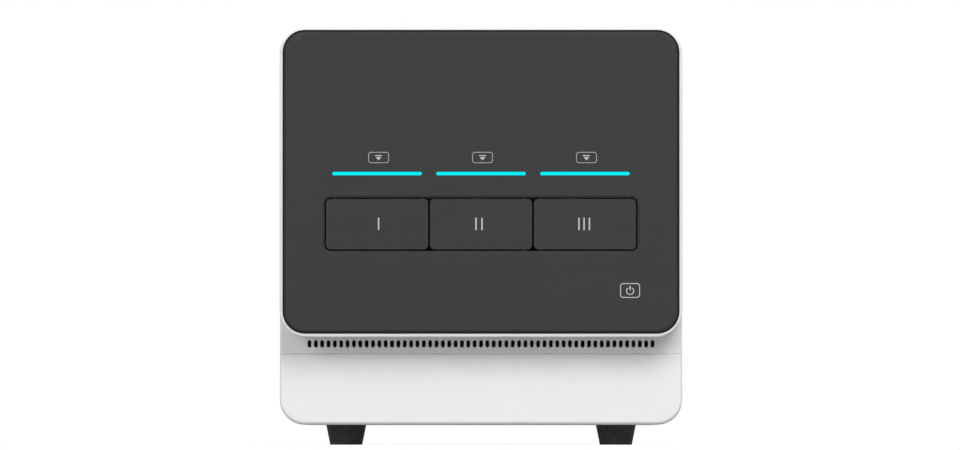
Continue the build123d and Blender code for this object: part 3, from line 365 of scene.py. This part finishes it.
def anodised(name, colour, rough=0.4, metallic=1.0):
    """Bead blasted and anodised metal: a fine even sparkle."""
    finish = Finish(name, metallic=metallic)
    beads = finish.grains(0.45 * MM)
    wide = finish.clouds(35 * MM, detail=2.0)
    finish.tint(beads * 0.5 + wide * 0.5, colour, 0.92, 1.06)
    finish.set("Roughness", rough + beads * 0.08 + wide * 0.05)
    finish.relief(beads * 0.7 + finish.clouds(0.25 * MM) * 0.3, 0.012 * MM)
    return finish.material


def circuit_board(name):
    """Green solder mask over square-cornered copper tracks, with bright pads."""
    finish = Finish(name, specular_ior_level=0.5)
    cells = finish.grains(7 * MM, "CHEBYCHEV")
    track = (cells * 9.0).step("FRACT", cells * 9.0, 0.0).over(0.62)
    pads = finish.grains(5 * MM, "EUCLIDEAN")
    pad = 1.0 - pads.over(0.16)
    mask = finish.blend(track, (0.012, 0.11, 0.045), (0.03, 0.22, 0.09))
    finish.set("Base Color", finish.blend(pad, mask, (0.75, 0.62, 0.35)))
    finish.set("Metallic", pad * 0.9)
    finish.set("Roughness", 0.28 + track * 0.06)
    finish.relief(track * 0.5 + pad * 0.5, 0.03 * MM)
    return finish.material


def ceramic(name, colour):
    """Unglazed white ceramic with fine dark specks."""
    finish = Finish(name, subsurface_weight=0.1)
    specks = 1.0 - finish.grains(1.2 * MM).over(0.13)
    cloud = finish.clouds(9 * MM, detail=3.0)
    base = finish.blend(cloud, shade(colour, 0.94), shade(colour, 1.03))
    finish.set("Base Color", finish.blend(specks * 0.5, base, (0.45, 0.43, 0.4)))
    finish.set("Roughness", 0.55 + cloud * 0.15)
    finish.relief(cloud * 0.5 + finish.clouds(0.3 * MM) * 0.5, 0.01 * MM)
    return finish.material


def lit_guide(name, colour):
    """A light guide lit from behind by a row of lamps."""
    finish = Finish(name, emission_strength=1.0, specular_ior_level=0.0, roughness=0.3)
    soft = finish.clouds(8 * MM, detail=1.0, place=finish.stretched(1.0, 0.1, 0.1))
    finish.set("Base Color", finish.blend(soft, (0.0, 0.012, 0.014), (0.0, 0.02, 0.022)))
    finish.set("Emission Color", finish.blend(soft.between(0.3, 0.7), shade(colour, 0.95), colour))
    return finish.material


def printed(name, colour):
    """Screen printed ink: a slightly open, uneven film."""
    finish = Finish(name, specular_ior_level=0.3)
    film = finish.clouds(0.8 * MM, detail=3.0)
    finish.tint(film, colour, 0.93, 1.05)
    finish.set("Roughness", 0.5 + film * 0.15)
    finish.relief(film, 0.004 * MM)
    return finish.material


def bright_wire(name, colour):
    """Bright plated wire, a little clouded."""
    finish = Finish(name, metallic=1.0)
    cloud = finish.clouds(3 * MM, detail=3.0)
    finish.tint(cloud, colour, 0.85, 1.1)
    finish.set("Roughness", 0.12 + cloud * 0.14)
    finish.relief(finish.clouds(0.4 * MM), 0.004 * MM)
    return finish.material


WHITE = (0.87, 0.875, 0.88)
DARK = (0.031, 0.032, 0.034)

finishes = {
    "white_moulding": moulded("white_moulding", WHITE, rough=0.5),
    "white_cover": powder_coated("white_cover", WHITE),
    "dark_panel": satin_dark("dark_panel", DARK),
    "dark_front": satin_dark("dark_front", DARK),
    "light_guide": lit_guide("light_guide", (0.0, 0.913, 0.982)),
    "circuit_board": circuit_board("circuit_board"),
    "back_plate": powder_coated("back_plate", (0.62, 0.63, 0.64)),
    "foot_rubber": soft_rubber("foot_rubber", (0.045, 0.045, 0.046)),
    "screw_steel": bright_wire("screw_steel", (0.62, 0.62, 0.63)),
    "plated_steel": plated_sheet("plated_steel", (0.66, 0.67, 0.68)),
    "ground_steel": cut_metal("ground_steel", (0.72, 0.72, 0.73), along=(1.0, 0.02, 1.0)),
    "motor_body": powder_coated("motor_body", (0.05, 0.05, 0.055), rough=0.35),
    "actuator_body": powder_coated("actuator_body", (0.08, 0.08, 0.085), rough=0.4),
    "machined_aluminium": cut_metal("machined_aluminium", (0.77, 0.78, 0.79), rough=0.3),
    "optics_black": anodised("optics_black", (0.04, 0.04, 0.045), metallic=0.4),
    "supply_case": plated_sheet("supply_case", (0.6, 0.61, 0.62), flake=7 * MM),
    "inlet_black": moulded("inlet_black", (0.03, 0.03, 0.03), rough=0.45, specular_ior_level=0.4),
    "rocker_black": moulded("rocker_black", (0.03, 0.03, 0.03), rough=0.28, depth=0.004 * MM),
    "port_shell": plated_sheet("port_shell", (0.7, 0.7, 0.7), flake=1.5 * MM),
    "fan_black": moulded("fan_black", (0.04, 0.04, 0.04), rough=0.42),
    "guard_wire": bright_wire("guard_wire", (0.8, 0.8, 0.8)),
    "tray_grey": moulded("tray_grey", (0.3, 0.31, 0.32), rough=0.48),
    "block_aluminium": anodised("block_aluminium", (0.85, 0.85, 0.86)),
    "cell_ceramic": ceramic("cell_ceramic", (0.85, 0.85, 0.83)),
    "sink_aluminium": cut_metal("sink_aluminium", (0.75, 0.76, 0.77), along=(1.0, 0.02, 1.0), rough=0.34),
    "rack_plastic": moulded("rack_plastic", (0.82, 0.8, 0.74), rough=0.38, subsurface_weight=0.1),
    "pinion_brass": cut_metal("pinion_brass", (0.75, 0.6, 0.3), along=(1.0, 1.0, 0.03), rough=0.22),
    "printed_ink": printed("printed_ink", (0.62, 0.62, 0.625)),
}

slot_of = {entry["node"]: entry["material_slot"] for entry in frame["record"]["subparts"]}
body_of = {node: body for body, nodes in frame["record"]["behaviour"]["bodies"].items() for node in nodes}


# Pieces

def new_piece(name, mesh, body, slot):
    """A piece at the origin that rides on a body and takes the finish of a slot of the record."""
    piece = bpy.data.objects.new(name, mesh)
    bpy.context.scene.collection.objects.link(piece)
    mesh.materials.clear()
    mesh.materials.append(finishes[slot])
    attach(piece, body)
    return piece


def merged_mesh(node, reshape=None):
    """A copy of a node's mesh with its loose triangles joined, smooth up to sharp edges."""
    mesh = frame["nodes"][node].data.copy()
    mesh.name = node + "_skin"
    if "custom_normal" in mesh.attributes:
        mesh.attributes.remove(mesh.attributes["custom_normal"])
    shape = bmesh.new()
    shape.from_mesh(mesh)
    bmesh.ops.remove_doubles(shape, verts=shape.verts, dist=0.002 * MM)
    if reshape:
        reshape(shape)
    for face in shape.faces:
        face.smooth = True
    for edge in shape.edges:
        edge.smooth = len(edge.link_faces) == 2 and edge.calc_face_angle(0) < radians(32)
    shape.to_mesh(mesh)
    shape.free()
    return mesh


def dress(node, reshape=None):
    """Shows a node as its own merged and smoothed copy."""
    piece = new_piece(node + "_skin", merged_mesh(node, reshape), body_of[node], slot_of[node])
    flat = piece.modifiers.new("even_faces", "WEIGHTED_NORMAL")
    flat.keep_sharp = True
    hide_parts(node)
    return piece


def prism(shape, points, y_low, y_high):
    """Adds a flat shape drawn in X and Z, solid between two depths."""
    near = [shape.verts.new((x, y_low, z)) for x, z in points]
    far = [shape.verts.new((x, y_high, z)) for x, z in points]
    shape.faces.new(near)
    shape.faces.new(far[::-1])
    for n in range(len(points)):
        after = (n + 1) % len(points)
        shape.faces.new((near[n], far[n], far[after], near[after]))


def band(shape, outer, inner, y_low, y_high, closed=True):
    """Adds the strip between two lines of the same number of points, solid between two depths."""
    near_out, far_out, near_in, far_in = [
        [shape.verts.new((x, y, z)) for x, z in line] for line in (outer, inner) for y in (y_low, y_high)]
    count = len(outer)
    for n in range(count if closed else count - 1):
        after = (n + 1) % count
        shape.faces.new((near_out[n], near_out[after], near_in[after], near_in[n]))
        shape.faces.new((far_out[n], far_in[n], far_in[after], far_out[after]))
        shape.faces.new((near_out[n], far_out[n], far_out[after], near_out[after]))
        shape.faces.new((near_in[n], near_in[after], far_in[after], far_in[n]))
    if not closed:
        for n in (0, -1):
            shape.faces.new((near_out[n], near_in[n], far_in[n], far_out[n]))


def finished(shape, name):
    """Turns a shape's faces outwards and makes it a mesh."""
    bmesh.ops.recalc_face_normals(shape, faces=shape.faces)
    mesh = bpy.data.meshes.new(name)
    shape.to_mesh(mesh)
    shape.free()
    return mesh


def round_rectangle(x, z, width, height, corner, steps=6):
    """The outline of a round-cornered rectangle about x, z."""
    points = []
    for turn, (side_x, side_z) in enumerate(((1, 1), (-1, 1), (-1, -1), (1, -1))):
        centre_x = x + side_x * (width / 2 - corner)
        centre_z = z + side_z * (height / 2 - corner)
        for n in range(steps + 1):
            angle = (turn + n / steps) * pi / 2
            points.append((centre_x + corner * cos(angle), centre_z + corner * sin(angle)))
    return points


# Places read from the frame

panel_low, panel_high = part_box("front_panel")
panel_middle = (panel_low + panel_high) / 2
panel_size = panel_high - panel_low
panel_y = panel_low.y
drawers = [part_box(f"drawer_front_{n}") for n in (1, 2, 3)]
drawer_centres = [(low.x + high.x) / 2 for low, high in drawers]
drawer_y = drawers[0][0].y
drawer_top = drawers[0][1].z


# Channel round the face of the panel

CHANNEL_REACH = 3.55 * MM
CHANNEL_DEPTH = 2.6 * MM
LIP_WALL = 0.15 * MM
LIP_REACH = 1.2 * MM
LIP_Y = panel_y + 1.8 * MM
CHANNEL_FOOT_Y = panel_y + 3.1 * MM
PANEL_CORNER = 22.1 * MM


def edge_distance(x, z):
    """How far a point lies inside the round-cornered outline of the panel."""
    across = abs(x - panel_middle.x) - panel_size.x / 2 + PANEL_CORNER
    up = abs(z - panel_middle.z) - panel_size.z / 2 + PANEL_CORNER
    return PANEL_CORNER - sqrt(max(across, 0) ** 2 + max(up, 0) ** 2) - min(max(across, up), 0)


def sink_edge(shape):
    """Draws the rounded edge of the panel's skin back, so that the channel stands in its place."""
    for vertex in shape.verts:
        rounded = panel_y + 0.05 * MM < vertex.co.y < panel_y + 4 * MM
        if rounded and edge_distance(vertex.co.x, vertex.co.z) < CHANNEL_REACH:
            vertex.co.y = CHANNEL_FOOT_Y


def make_channel():
    """The channel that runs all round the face of the panel: a low lip outside, a valley, then the face."""
    shape = bmesh.new()
    profile = [
        (LIP_WALL, CHANNEL_FOOT_Y), (LIP_WALL, LIP_Y), (LIP_REACH, panel_y + CHANNEL_DEPTH),
        (CHANNEL_REACH, panel_y + 0.01 * MM), (CHANNEL_REACH, CHANNEL_FOOT_Y)]
    rows = []
    for inset, y in profile:
        outline = round_rectangle(panel_middle.x, panel_middle.z, panel_size.x - 2 * inset,
                                  panel_size.z - 2 * inset, PANEL_CORNER - inset, steps=16)
        rows.append([shape.verts.new((x, y, z)) for x, z in outline])
    for row, inner in zip(rows, rows[1:] + rows[:1]):
        for n in range(len(row)):
            after = (n + 1) % len(row)
            shape.faces.new((row[n], row[after], inner[after], inner[n]))
    return finished(shape, "panel_channel")


# Prints on the panel and the drawers

INK = 0.03 * MM

EJECT_RISE = 41.2 * MM
EJECT_SHIFT = 1.5 * MM
EJECT_FRAME = (19.9 * MM, 10.4 * MM, 2.4 * MM, 0.5 * MM)
EJECT_BAR_RISE = 1.9 * MM
EJECT_BAR_HALF = 3.45 * MM
EJECT_BAR_THICK = 1.0 * MM
ARROW_RISE = 0.4 * MM
ARROW_HALF = 2.8 * MM
ARROW_LENGTH = 3.3 * MM

POWER_FROM_RIGHT = 48.9 * MM
POWER_RISE = 42.8 * MM
POWER_FRAME = (18.9 * MM, 13.8 * MM, 2.7 * MM, 0.9 * MM)
RING_DROP = 0.4 * MM
RING_RADII = (4.05 * MM, 3.05 * MM)
RING_START = 125
RING_TURN = 290
RING_STEPS = 36
STUB_HALF = 0.65 * MM
STUB_FOOT = 0.8 * MM
STUB_TOP = 4.9 * MM

MARK_DROP = 30.8 * MM
MARK_LENGTH = 12.3 * MM
MARK_HALF = 0.72 * MM
MARK_PLACES = ((1.5,), (-4.96, 0.99), (-5.95, -0.9, 4.45))


def ink_bar(shape, x, half_width, z_low, z_high, y):
    """Adds a printed bar about x, between two heights, on a face at y."""
    left = x - half_width
    right = x + half_width
    prism(shape, [(left, z_low), (right, z_low), (right, z_high), (left, z_high)], y - INK, y + INK)


def key_frame(shape, x, z, width, height, corner, line):
    """The outline printed round a touch key."""
    outer = round_rectangle(x, z, width + line, height + line, corner + line / 2)
    inner = round_rectangle(x, z, width - line, height - line, corner - line / 2)
    band(shape, outer, inner, panel_y - INK, panel_y + INK)


def make_eject_keys():
    """The key over each drawer: a bar over a triangle that points down at the drawer."""
    shape = bmesh.new()
    z = drawer_top + EJECT_RISE
    bar = z + EJECT_BAR_RISE
    top = z + ARROW_RISE
    for centre in drawer_centres:
        x = centre + EJECT_SHIFT
        key_frame(shape, x, z, *EJECT_FRAME)
        ink_bar(shape, x, EJECT_BAR_HALF, bar - EJECT_BAR_THICK / 2, bar + EJECT_BAR_THICK / 2, panel_y)
        prism(shape, [(x - ARROW_HALF, top), (x, top - ARROW_LENGTH), (x + ARROW_HALF, top)],
              panel_y - INK, panel_y + INK)
    return finished(shape, "eject_key_prints")


def make_power_key():
    """The power key: a ring open at the top, with a bar in the opening."""
    shape = bmesh.new()
    x = panel_high.x - POWER_FROM_RIGHT
    z = panel_low.z + POWER_RISE
    key_frame(shape, x, z, *POWER_FRAME)
    centre = z - RING_DROP
    turns = [radians(RING_START + RING_TURN * n / RING_STEPS) for n in range(RING_STEPS + 1)]
    outer, inner = [[(x + r * cos(t), centre + r * sin(t)) for t in turns] for r in RING_RADII]
    band(shape, outer, inner, panel_y - INK, panel_y + INK, closed=False)
    ink_bar(shape, x, STUB_HALF, centre + STUB_FOOT, centre + STUB_TOP, panel_y)
    return finished(shape, "power_key_print")


def make_drawer_mark(places):
    """The upright bars that count a drawer, at their places along X."""
    shape = bmesh.new()
    low = drawer_top - MARK_DROP
    for x in places:
        ink_bar(shape, x, MARK_HALF, low, low + MARK_LENGTH, drawer_y)
    return finished(shape, "drawer_mark")


def make_prints():
    """Every print of the front."""
    new_piece("eject_key_prints", make_eject_keys(), "housing", "printed_ink")
    new_piece("power_key_print", make_power_key(), "housing", "printed_ink")
    for n, (centre, offsets) in enumerate(zip(drawer_centres, MARK_PLACES), start=1):
        mesh = make_drawer_mark([centre + offset * MM for offset in offsets])
        new_piece(f"drawer_mark_{n}", mesh, f"drawer_{n}", "printed_ink")


# Rims of the wells, laid out by a node tree

def rim_tree():
    """A node tree that sets a wire ring on every point of a grid of wells."""
    tree = bpy.data.node_groups.new("well_rims", "GeometryNodeTree")
    tree.interface.new_socket("Geometry", in_out="OUTPUT", socket_type="NodeSocketGeometry")
    for name, kind in (("Columns", "Int"), ("Rows", "Int"), ("Pitch", "Float"), ("Rim Radius", "Float"),
                       ("Wire Radius", "Float"), ("Finish", "Material")):
        tree.interface.new_socket(name, in_out="INPUT", socket_type="NodeSocket" + kind)
    given = tree.nodes.new("NodeGroupInput").outputs

    def add(kind, inputs, settings=None):
        """Adds a node, its settings first, and gives its first output."""
        node = tree.nodes.new(kind)
        for key, value in (settings or {}).items():
            setattr(node, key, value)
        for key, value in inputs.items():
            if isinstance(value, bpy.types.NodeSocket):
                tree.links.new(value, node.inputs[key])
            else:
                node.inputs[key].default_value = value
        return node.outputs[0]

    def span(count):
        """How far a row of wells reaches from its first to its last."""
        steps = add("ShaderNodeMath", {0: given[count], 1: 1.0}, {"operation": "SUBTRACT"})
        return add("ShaderNodeMath", {0: steps, 1: given["Pitch"]}, {"operation": "MULTIPLY"})

    grid = add("GeometryNodeMeshGrid", {
        "Size X": span("Columns"), "Size Y": span("Rows"),
        "Vertices X": given["Columns"], "Vertices Y": given["Rows"]})
    ring = add("GeometryNodeCurvePrimitiveCircle", {"Resolution": 20, "Radius": given["Rim Radius"]})
    wire = add("GeometryNodeCurvePrimitiveCircle", {"Resolution": 6, "Radius": given["Wire Radius"]})
    rim = add("GeometryNodeCurveToMesh", {"Curve": ring, "Profile Curve": wire})
    rims = add("GeometryNodeInstanceOnPoints", {"Points": grid, "Instance": rim})
    solid = add("GeometryNodeRealizeInstances", {"Geometry": rims})
    shown = add("GeometryNodeSetMaterial", {"Geometry": solid, "Material": given["Finish"]})
    tree.links.new(shown, tree.nodes.new("NodeGroupOutput").inputs[0])
    return tree


def grown_mesh(tree, values, name):
    """The plain mesh that a node tree makes from named values."""
    holder = bpy.data.objects.new(name, bpy.data.meshes.new(name))
    bpy.context.scene.collection.objects.link(holder)
    modifier = holder.modifiers.new("grow", "NODES")
    modifier.node_group = tree
    for item in tree.interface.items_tree:
        if item.in_out == "INPUT":
            modifier[item.identifier] = values[item.name]
    graph = bpy.context.evaluated_depsgraph_get()
    mesh = bpy.data.meshes.new_from_object(holder.evaluated_get(graph), depsgraph=graph)
    bpy.data.objects.remove(holder)
    return mesh


def make_well_rims():
    """A low rim round every well of the three sample blocks."""
    tree = rim_tree()
    wells = {"Columns": 8, "Rows": 4, "Pitch": 9 * MM, "Rim Radius": 3.4 * MM, "Wire Radius": 0.22 * MM,
             "Finish": finishes["block_aluminium"]}
    for n in (1, 2, 3):
        low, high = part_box(f"sample_block_{n}")
        mesh = grown_mesh(tree, wells, f"well_rims_{n}")
        mesh.transform(Matrix.Translation(((low.x + high.x) / 2, (low.y + high.y) / 2, high.z)))
        new_piece(f"well_rims_{n}", mesh, f"drawer_{n}", "block_aluminium")


# Sheet behind the lids

SHIELD_GAP = 1 * MM
SHIELD_THICK = 1.5 * MM
SHIELD_FLANGE = 12 * MM


def make_light_shield():
    """The folded sheet that hangs from the back of the lid bridge and keeps light off the drawers."""
    shape = bmesh.new()
    low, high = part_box("lid_bridge")
    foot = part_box("tray_cover_1")[1].z + SHIELD_GAP
    for depth, base in ((SHIELD_THICK, foot), (SHIELD_FLANGE, low.z - SHIELD_THICK)):
        corners = [(low.x, base), (high.x, base), (high.x, low.z), (low.x, low.z)]
        prism(shape, corners, high.y - depth, high.y)
    return finished(shape, "light_shield")


# The scene put together

bpy.context.scene.view_settings.view_transform = "Standard"
make_camera()
make_surroundings()
make_lamp("key_softbox", place=(1.2, -2.5, 2.9), size=2.8, power=92)
make_lamp("fill_softbox", place=(-2.6, -2.6, 1.7), size=2.4, power=40)
make_lamp("rear_softbox", place=(-0.8, 3.4, 1.0), size=2.4, power=50)
make_floor()

for node in frame["nodes"]:
    dress(node, sink_edge if node == "front_panel" else None)
new_piece("panel_channel", make_channel(), "housing", "dark_panel")
new_piece("light_shield", make_light_shield(), "housing", "plated_steel")
make_well_rims()
make_prints()
